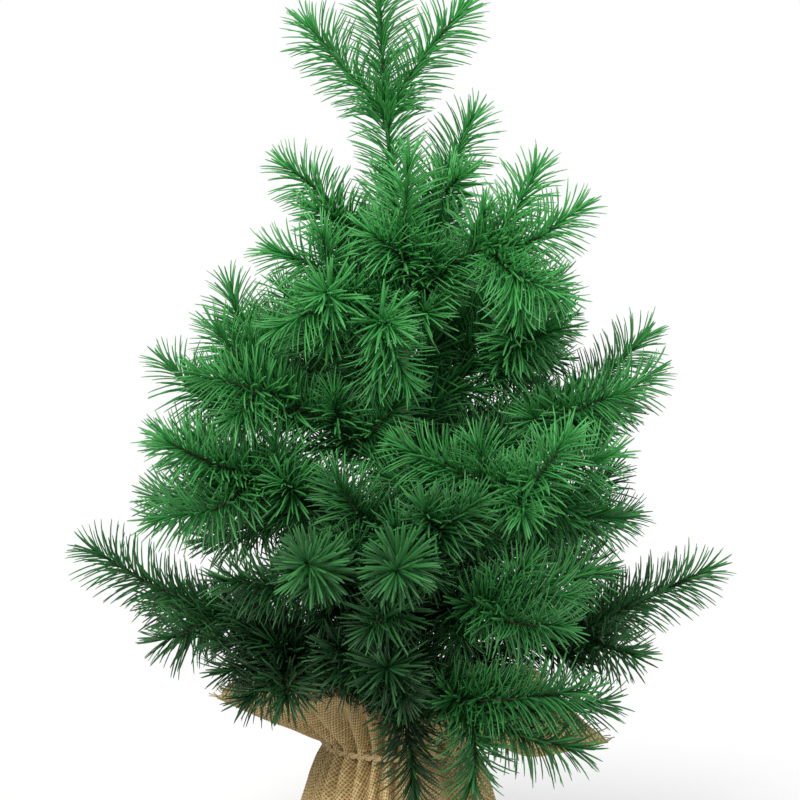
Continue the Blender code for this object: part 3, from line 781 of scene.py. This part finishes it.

# %% [markdown]
# ## Green
# The moulded plastic is a clean mid-green, paler at the tips. Light and shade
# are painted into it: the needles are painted deep blue-green low down and close
# to the trunk, as painted shade, and lighter on the outer twigs and at the front,
# as painted light. Each needle keeps three numbers: its painted light, from how
# high, how far out and how far to the front its twig is, how far along the needle
# a point is, and a chance value of its own. The colour is mixed from those three.

# %% The needle finish
def needle_material():
    """Satin moulded green that varies along and between the needles, with painted light and shade."""
    material, tree, shader = new_material("needle_green", 0.42)
    shader.inputs["Specular IOR Level"].default_value = 0.40
    painted_light = attribute(tree, "painted_light")
    along = attribute(tree, "along")
    chance = attribute(tree, "chance")
    own = math_node(tree, "MULTIPLY_ADD", chance, 0.34, -0.17)
    # The painted light and shade of the twig, plus each needle's own chance tint.
    light_and_tint = math_node(tree, "ADD", painted_light, own)
    light_and_tint.node.use_clamp = True
    body = mix_colour(tree, light_and_tint, (0.001, 0.026, 0.004), (0.056, 0.390, 0.084))
    # The paler tips are the plastic's own colour, painted stronger where the painted light is stronger.
    strength = math_node(tree, "MULTIPLY_ADD", light_and_tint, 0.34, 0.06)
    tipped = math_node(tree, "MULTIPLY", math_node(tree, "POWER", along, 2.0), strength)
    colour = mix_colour(tree, tipped, body, (0.165, 0.500, 0.170))
    wire_up(tree, (colour, shader.inputs["Base Color"]))
    rough = math_node(tree, "MULTIPLY_ADD", chance, 0.16, 0.36)
    wire_up(tree, (rough, shader.inputs["Roughness"]))
    return material


NEEDLE_GREEN = needle_material()
TWIG_BARK = grained("twig_bark", (0.008, 0.020, 0.005), (0.030, 0.050, 0.016), 0.72, 900.0, 0.0002)

# %% Grow the crown
NEEDLES = needle_tree()
STEMS = stem_tree()


def grow_branch(order, name, lines):
    """Needles and stem of one body, in place of its two working solids."""
    guide = line_guide(name + "_guide", lines, FIRST_NEEDLE, SPRIG_LIGHT.get(name, 0.0))
    needles = grow(name + "_needles", guide, NEEDLES, seed=17 * order + 1, needle=needle, finish=NEEDLE_GREEN)
    bpy.data.objects.remove(guide)
    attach(needles, name)
    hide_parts(name + "_sprigs")
    guide = line_guide(name + "_line", lines, 0.0)
    stems = grow(name + "_stems", guide, STEMS, finish=TWIG_BARK)
    stems.data.shade_smooth()
    bpy.data.objects.remove(guide)
    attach(stems, name)
    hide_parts(name + "_wire")
    return len(needles.data.polygons) // len(needle.data.polygons)


count = sum(grow_branch(i, name, lines) for i, (name, lines) in enumerate(LINES.items()))
bpy.data.objects.remove(needle)
print("needles grown:", count)

# %% [markdown]
# ## The taped trunk
# Brown paper tape is wound in a rising spiral round the rod and over the
# wires, so each turn laps the one below and its edge shows as a small step.
# Where a wire is bound in, the tape swells. The trunk is a grid of rings whose
# radius has the spiral step and a swelling below every root.

# %% Wind the tape
TAPE_RISE = 0.0085       # from one turn of the tape to the next
TAPE_STEP = 0.00055      # height of a lapped edge
TAPE_SIDES = 36
TAPE_RING = 0.0011
SWELLING = 0.0011


def bound_roots():
    """Height and direction of every wire that the tape holds."""
    roots = []
    for height, stem, _ in BRANCHES.values():
        roots.append((height, math.atan2(stem[0][1], stem[0][0] - TRUNK_X)))
    return roots


def tape_radius(height, turn, roots):
    """Radius of the taped trunk with its spiral step and its swellings."""
    lap = (height / TAPE_RISE - turn / (2.0 * math.pi)) % 1.0
    crease = noise.noise(Vector((math.cos(turn) * 3.0, math.sin(turn) * 3.0, height * 240.0)))
    radius = trunk_radius(height) - TAPE_STEP * lap + 0.00016 * crease
    for root, heading in roots:
        near = math.exp(-((height - root + 0.005) / 0.006) ** 2)
        radius += SWELLING * near * (0.45 + 0.55 * math.cos(turn - heading)) * 0.5
    return radius


def wind_tape():
    """The closed outer face of the tape, from the cement to the leader."""
    roots = bound_roots()
    bottom = WRAP_PROFILE[0][0]
    top = WRAP_PROFILE[-1][0]
    shape = bmesh.new()
    rings = []
    for i in range(round((top - bottom) / TAPE_RING) + 1):
        height = min(bottom + i * TAPE_RING, top)
        ring = []
        for k in range(TAPE_SIDES):
            turn = 2.0 * math.pi * k / TAPE_SIDES
            radius = tape_radius(height, turn, roots)
            ring.append(shape.verts.new((TRUNK_X + radius * math.cos(turn), radius * math.sin(turn), height)))
        rings.append(ring)
    for lower, upper in zip(rings, rings[1:]):
        for k in range(TAPE_SIDES):
            m = (k + 1) % TAPE_SIDES
            shape.faces.new((lower[k], lower[m], upper[m], upper[k]))
    shape.faces.new(rings[0][::-1])
    shape.faces.new(rings[-1])
    return keep_shape("trunk_tape", shape)


def keep_shape(name, shape):
    """Turn a bmesh into a smooth object of the scene."""
    bmesh.ops.recalc_face_normals(shape, faces=shape.faces)
    mesh = bpy.data.meshes.new(name)
    shape.to_mesh(mesh)
    shape.free()
    mesh.shade_smooth()
    mesh.set_sharp_from_angle(angle=math.radians(50.0))
    piece = bpy.data.objects.new(name, mesh)
    bpy.context.scene.collection.objects.link(piece)
    return piece


def fit_piece(piece, body, slot, finish, *nodes):
    """Give a piece its finish and its body, and hide the working nodes it stands for; the slot is not used.
    """
    if finish is not None:
        piece.data.materials.clear()
        piece.data.materials.append(finish)
    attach(piece, body)
    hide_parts(*nodes)


TAPE_PAPER = grained("tape_paper", (0.150, 0.070, 0.045), (0.520, 0.330, 0.250), 0.75, 520.0, 0.00025,
                     (1.0, 1.0, 0.35))
tape = wind_tape()
fit_piece(tape, "base", "trunk_tape", TAPE_PAPER, "trunk_wrap")
print("turns of tape: %.0f" % ((WRAP_PROFILE[-1][0] - WRAP_PROFILE[0][0]) / TAPE_RISE))

# %% [markdown]
# ## The weighted base
# The base is a green moulded bowl filled with cement, and cement sets with an
# uneven top. Looking down past the collar one sees only that top, the foot of
# the trunk and the bowl's rim. The bowl and the rod are the working solids
# with a finish of their own. The cement is a disc of rings with a lumpy top.

# %% Cast the cement
CEMENT_WALL = [(0.0434, 0.0068), (0.0515, 0.0106), (0.0544, 0.0304), (0.0509, 0.0544),
               (0.0440, 0.0744), (0.0358, 0.0890), (0.0350, 0.0915)]
CEMENT_TOP = 0.0925
CEMENT_SIDES = 48


def cast_cement():
    """The filling: a smooth wall against the bowl, and a lumpy top."""
    outline = CEMENT_WALL + [(0.0340 - 0.0028 * i, CEMENT_TOP) for i in range(12)]
    shape = bmesh.new()
    rings = []
    for radius, height in outline:
        ring = []
        for k in range(CEMENT_SIDES):
            turn = 2.0 * math.pi * k / CEMENT_SIDES
            place = Vector((radius * math.cos(turn), radius * math.sin(turn), height))
            if height == CEMENT_TOP:
                place.z += 0.0009 * noise.noise(place * 170.0) + 0.0004 * noise.noise(place * 600.0) - 0.0006
            ring.append(shape.verts.new(place))
        rings.append(ring)
    for lower, upper in zip(rings, rings[1:]):
        for k in range(CEMENT_SIDES):
            m = (k + 1) % CEMENT_SIDES
            shape.faces.new((lower[k], lower[m], upper[m], upper[k]))
    shape.faces.new(rings[0][::-1])
    shape.faces.new(rings[-1])
    return keep_shape("cement_fill", shape)


CEMENT = grained("set_cement", (0.230, 0.225, 0.210), (0.520, 0.510, 0.480), 0.92, 700.0, 0.0006)
fit_piece(cast_cement(), "base", "cement", CEMENT, "base_weight")


def refinish(node, finish):
    """Put a better finish on a working solid that stays in view."""
    bpy.data.objects[node].data.materials.clear()
    bpy.data.objects[node].data.materials.append(finish)


refinish("base_cup", grained("moulded_bowl", (0.012, 0.030, 0.020), (0.030, 0.055, 0.038), 0.42, 900.0,
                             0.00008))
refinish("trunk_rod", grained("drawn_steel", (0.30, 0.30, 0.31), (0.52, 0.52, 0.53), 0.36, 1500.0, 0.00003,
                              (1.0, 1.0, 0.05), 1.0))
print("cement, bowl and rod finished")

# %% [markdown]
# ## The burlap
# One square of burlap, 360 mm a side, lies under the base, comes up round it
# and is gathered by a tie below the rim. The cloth that a circle of that
# length has to spare goes into pleats, few and shallow at the belly, many and
# deep at the tie. Past the tie the four corners fall open and the short edges
# between them stand up. Every point is worked out from its place on the flat
# square, and that place is kept as the cloth's own map, so the weave runs
# straight along the threads, through every fold.

# %% The way up the sack
CLOTH_SIDE = 0.360
CLOTH_TO_TIE = 0.155     # middle of the square to the tie, along the cloth
CLOTH_WEIGHT = 0.0011    # thickness
SACK_LINE = [            # middle of the cloth: (radius, height, depth of the pleats)
    (0.0040, 0.0012, 0.0000),
    (0.0300, 0.0012, 0.0000),
    (0.0480, 0.0014, 0.0002),
    (0.0570, 0.0080, 0.0018),
    (0.0616, 0.0200, 0.0028),
    (0.0620, 0.0360, 0.0032),
    (0.0592, 0.0520, 0.0036),
    (0.0538, 0.0680, 0.0040),
    (0.0492, 0.0800, 0.0046),
    (0.0442, 0.0910, 0.0048),
    (0.0412, 0.0985, 0.0036),
    (0.0424, 0.1020, 0.0042),
]
# The corners past the tie: heading, rise near the tie and near the tip, in
# degrees, and the share of the length that isn't folded under.
CLOTH_CORNERS = [(45, 2, 6, 1.0), (144, 4, 10, 1.0), (207, 20, 28, 0.86), (333, -11, 17, 1.0)]
EDGE_RISE = 72
CLOTH_COLUMNS = 352
SACK_ROWS = 56
FLAP_ROWS = 30


def smooth_step(x):
    """Nought to one with a soft start and end."""
    x = min(max(x, 0.0), 1.0)
    return x * x * (3.0 - 2.0 * x)


def square_at(heading):
    """Where a heading lies on the flat square: its angle there, its reach, and its flap."""
    for i, corner in enumerate(CLOTH_CORNERS):
        after = CLOTH_CORNERS[(i + 1) % 4]
        span = (after[0] - corner[0]) % 360.0
        gone = (heading - corner[0]) % 360.0
        if gone < span:
            break
    slant = math.radians(90.0 * gone / span - 45.0)
    flat_angle = math.radians(90.0 * i + 90.0) + slant
    reach = CLOTH_SIDE / 2.0 / math.cos(slant)
    share = (1.0 / math.cos(slant) - 1.0) / (math.sqrt(2.0) - 1.0)
    nearest = corner if gone < span / 2.0 else after
    length = (reach - CLOTH_TO_TIE) * (1.0 - (1.0 - nearest[3]) * share)
    near, far = [math.radians(EDGE_RISE + (rise - EDGE_RISE) * share ** 0.6) for rise in nearest[1:3]]
    return flat_angle, reach, length, near, far, share


print("longest flap: %.0f mm" % (1000.0 * max(square_at(corner[0])[2] for corner in CLOTH_CORNERS)))


# %% Pleats
def pleat(turn, fine):
    """Height of the pleats at a turn: broad waves that split in two as fine goes to 1."""
    uneven = turn + 0.10 * math.sin(3.0 * turn + 0.6) + 0.06 * math.sin(5.0 * turn + 2.1)
    broad = math.cos(14.0 * uneven + 0.8)
    split = math.cos(28.0 * uneven + 1.1 + 0.5 * math.sin(2.0 * turn))
    return (1.0 - fine) * broad + fine * split


def sack_point(way, turn):
    """Radius, height and outward normal of the sack at a share of the way up."""
    marks = [0.0]
    for (r0, z0, _), (r1, z1, _) in zip(SACK_LINE, SACK_LINE[1:]):
        marks.append(marks[-1] + math.hypot(r1 - r0, z1 - z0))
    run = way * marks[-1]
    radius, height, depth = [float(np.interp(run, marks, [row[k] for row in SACK_LINE])) for k in range(3)]
    ahead = min(run + 0.002, marks[-1])
    behind = max(ahead - 0.004, 0.0)
    rise = [float(np.interp(ahead, marks, [row[k] for row in SACK_LINE])
                  - np.interp(behind, marks, [row[k] for row in SACK_LINE])) for k in range(2)]
    size = math.hypot(*rise)
    return radius, height, depth, (rise[1] / size, -rise[0] / size)


def flap_line(length, near, far):
    """Radius, height and normal at equal steps from the tie to the edge."""
    radius, height, _ = SACK_LINE[-1]
    step = length / FLAP_ROWS
    line = []
    for i in range(1, FLAP_ROWS + 1):
        gone = i * step
        open_up = smooth_step(gone / min(0.010, 0.6 * length))
        rise = near + (far - near) * smooth_step((gone / length - 0.2) / 0.6)
        rise = math.pi / 2.0 + (rise - math.pi / 2.0) * open_up
        radius += step * math.cos(rise)
        height += step * math.sin(rise)
        line.append((radius, height, (math.sin(rise), -math.cos(rise))))
    return line


# %% Gather the square
def gather_cloth():
    """The pleated square as one sheet, with its flat place as its map."""
    places = []
    flats = []
    total = SACK_ROWS + FLAP_ROWS
    for k in range(CLOTH_COLUMNS):
        heading = 360.0 * k / CLOTH_COLUMNS
        turn = math.radians(heading)
        flat_angle, reach, length, near, far, share = square_at(heading)
        column = []
        for i in range(SACK_ROWS):
            way = i / (SACK_ROWS - 1)
            radius, height, depth, normal = sack_point(way, turn)
            fold = depth * pleat(turn, 0.4 + 0.6 * smooth_step((height - 0.030) / 0.050))
            column.append((radius, height, fold, normal, way * CLOTH_TO_TIE))
        for i, (radius, height, normal) in enumerate(flap_line(length, near, far)):
            t = (i + 1) / FLAP_ROWS
            spread = 1.0 - 0.75 * smooth_step((t * length - 0.006) / 0.045)
            depth = SACK_LINE[-1][2] * (1.0 + (1.0 - share) * 0.25 + 0.7 * share * t)
            fold = depth * pleat(turn, spread) * (1.0 - 0.30 * share * t)
            column.append((radius, height, fold, normal, CLOTH_TO_TIE + (reach - CLOTH_TO_TIE) * t))
        for i, (radius, height, fold, normal, flat) in enumerate(column):
            r = radius + fold * normal[0]
            z = height + fold * normal[1]
            place = Vector((r * math.cos(turn), r * math.sin(turn), z))
            loose = 0.0014 * min(max((i - 16) / 30.0, 0.0), 1.0)
            place += loose * noise.noise_vector(place * 42.0)
            places.append(place)
            flats.append((flat * math.cos(flat_angle), flat * math.sin(flat_angle)))
    faces = []
    for k in range(CLOTH_COLUMNS):
        here = k * total
        after = (k + 1) % CLOTH_COLUMNS * total
        faces += [(here + i, after + i, after + i + 1, here + i + 1) for i in range(total - 1)]
    faces.append([k * total for k in reversed(range(CLOTH_COLUMNS))])
    mesh = bpy.data.meshes.new("burlap_square")
    mesh.from_pydata(places, [], faces)
    flat_map = mesh.uv_layers.new(name="flat")
    for loop in mesh.loops:
        flat_map.data[loop.index].uv = flats[loop.vertex_index]
    mesh.shade_smooth()
    cloth = bpy.data.objects.new("burlap_square", mesh)
    bpy.context.scene.collection.objects.link(cloth)
    wall = cloth.modifiers.new("thickness", "SOLIDIFY")
    wall.thickness = CLOTH_WEIGHT
    wall.offset = 0.0
    rim = [places[k * total + total - 1] for k in range(CLOTH_COLUMNS)]
    inner = [places[k * total + total - 3] for k in range(CLOTH_COLUMNS)]
    return cloth, rim, inner


# %% [markdown]
# Burlap is a plain weave of coarse, uneven jute yarn. Two rows of rounded
# ridges, one for each way of the threads, pass over and under in turn. Shade is
# painted into the small gaps between them and onto the yarns where they pass
# under, so these are dark. Every yarn has its own tint, which comes from a noise
# that is drawn out along the yarn.

# %% The burlap finish
YARN = 0.0019            # from one yarn to the next


def yarn_rows(tree, across, along_yarn, number):
    """Ridge of the yarns that lie side by side in one direction, and their tint."""
    count = math_node(tree, "DIVIDE", across, YARN)
    ridge = math_node(tree, "ABSOLUTE", math_node(tree, "SINE", math_node(tree, "MULTIPLY", count, math.pi)))
    yarn = tree.nodes.new("ShaderNodeCombineXYZ")
    wire_up(tree, (math_node(tree, "FLOOR", count), yarn.inputs[0]),
            (math_node(tree, "MULTIPLY", along_yarn, 34.0), yarn.inputs[1]))
    yarn.inputs[2].default_value = float(number)
    tint = tree.nodes.new("ShaderNodeTexNoise")
    tint.inputs["Scale"].default_value = 1.0
    tint.inputs["Detail"].default_value = 2.0
    tree.links.new(yarn.outputs[0], tint.inputs["Vector"])
    return ridge, tint.outputs[0], count


def burlap_material():
    """Plain weave on the cloth's own map, tan with darker yarns, and painted shade in the gaps and where
    yarns pass under.
    """
    material, tree, shader = new_material("burlap_weave", 0.95)
    flat = tree.nodes.new("ShaderNodeUVMap")
    flat.uv_map = "flat"
    split = tree.nodes.new("ShaderNodeSeparateXYZ")
    tree.links.new(flat.outputs[0], split.inputs[0])
    warp, warp_tint, warp_count = yarn_rows(tree, split.outputs[0], split.outputs[1], 3)
    weft, weft_tint, weft_count = yarn_rows(tree, split.outputs[1], split.outputs[0], 8)
    both = math_node(tree, "ADD", math_node(tree, "FLOOR", warp_count), math_node(tree, "FLOOR", weft_count))
    over = math_node(tree, "FLOORED_MODULO", both, 2.0)
    warp_top = math_node(tree, "MULTIPLY", warp, math_node(tree, "MULTIPLY_ADD", over, 0.45, 0.55))
    weft_top = math_node(tree, "MULTIPLY", weft, math_node(tree, "MULTIPLY_ADD", over, -0.45, 1.0))
    relief = math_node(tree, "MAXIMUM", warp_top, weft_top)
    tint = math_node(tree, "MULTIPLY", math_node(tree, "ADD", warp_tint, weft_tint), 0.5)
    spread = tree.nodes.new("ShaderNodeMapRange")
    spread.inputs["From Min"].default_value = 0.34
    spread.inputs["From Max"].default_value = 0.66
    tree.links.new(tint, spread.inputs["Value"])
    yarns = mix_colour(tree, spread.outputs["Result"], (0.385, 0.264, 0.104), (0.780, 0.615, 0.320))
    gap_shade = tree.nodes.new("ShaderNodeMapRange")
    gap_shade.inputs["From Min"].default_value = 0.30
    gap_shade.inputs["From Max"].default_value = 0.72
    tree.links.new(relief, gap_shade.inputs["Value"])
    # Painted shade: the gaps and the yarns where they pass under run towards a deep brown.
    colour = mix_colour(tree, gap_shade.outputs["Result"], (0.215, 0.128, 0.044), yarns)
    bump = tree.nodes.new("ShaderNodeBump")
    bump.inputs["Distance"].default_value = 0.0007
    wire_up(tree, (relief, bump.inputs["Height"]), (colour, shader.inputs["Base Color"]),
            (bump.outputs[0], shader.inputs["Normal"]))
    return material


# %% Fray the edge and tie the neck
FRINGE_THREADS = 560
FRINGE_LENGTH = 0.0075
TIE_HEIGHT = 0.0985
TIE_RADIUS = 0.0446
TIE_STRAND = 0.00075


def strand_guide(name, lines, girth, closed=False):
    """Edges along each line of points, with one girth."""
    places = []
    edges = []
    for line in lines:
        start = len(places)
        places += line
        edges += [(i, i + 1) for i in range(start, len(places) - 1)]
        if closed:
            edges.append((len(places) - 1, start))
    mesh = bpy.data.meshes.new(name)
    mesh.from_pydata(places, edges, [])
    mesh.attributes.new("girth", "FLOAT", "POINT").data.foreach_set("value", [girth] * len(places))
    guide = bpy.data.objects.new(name, mesh)
    bpy.context.scene.collection.objects.link(guide)
    return guide


def frayed_threads(rim, inner):
    """Loose ends of yarn that stick out of the cut edge, each with its own bend."""
    dice = np.random.default_rng(5)
    threads = []
    for i in range(FRINGE_THREADS):
        k = int(i * len(rim) / FRINGE_THREADS)
        m = (k + 1) % len(rim)
        root = rim[k].lerp(rim[m], (i * len(rim) / FRINGE_THREADS) % 1.0)
        out = (rim[k] - inner[k]).normalized()
        side = (rim[m] - rim[k]).normalized()
        up = out.cross(side)
        length = FRINGE_LENGTH * dice.uniform(0.25, 1.0)
        way = (out + side * dice.normal(0.0, 0.35) + up * dice.normal(0.0, 0.22)).normalized()
        bend = (way + side * dice.normal(0.0, 0.55) + up * dice.normal(0.0, 0.4)).normalized()
        start = root - out * 0.0015
        middle = start + way * (0.5 * length + 0.0015)
        threads.append([start, middle, middle + bend * 0.5 * length])
    return threads


def twisted_ring(strands, laps):
    """Strands of a twisted cord, wound round the neck."""
    lines = []
    count = 420
    for s in range(strands):
        line = []
        for i in range(count * laps):
            turn = 2.0 * math.pi * i / count
            twist = turn * 26.0 + 2.0 * math.pi * s / strands
            radius = TIE_RADIUS + TIE_STRAND * math.cos(twist)
            height = TIE_HEIGHT - 0.0011 + 0.0022 * i / (count * laps) + TIE_STRAND * math.sin(twist)
            line.append(Vector((radius * math.cos(turn), radius * math.sin(turn), height)))
        lines.append(line)
    return lines


BURLAP = burlap_material()
JUTE = grained("jute_yarn", (0.300, 0.200, 0.090), (0.620, 0.480, 0.260), 0.92, 1100.0, 0.0002)
cloth, rim, inner = gather_cloth()
cloth.data.materials.append(BURLAP)
guide = strand_guide("fringe_guide", frayed_threads(rim, inner), 0.00028)
fringe = grow("burlap_fringe", guide, STEMS, step=0.0018, finish=JUTE)
bpy.data.objects.remove(guide)
guide = strand_guide("tie_guide", twisted_ring(2, 2), TIE_STRAND)
tie = grow("jute_cord", guide, STEMS, step=0.0009, finish=JUTE)
bpy.data.objects.remove(guide)
fit_piece(cloth, "base", "burlap", None, "burlap_wrap")
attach(fringe, "base")
fit_piece(tie, "base", "jute_twine", JUTE, "jute_tie")
print("cloth faces:", len(cloth.data.polygons), " fringe faces:", len(fringe.data.polygons))
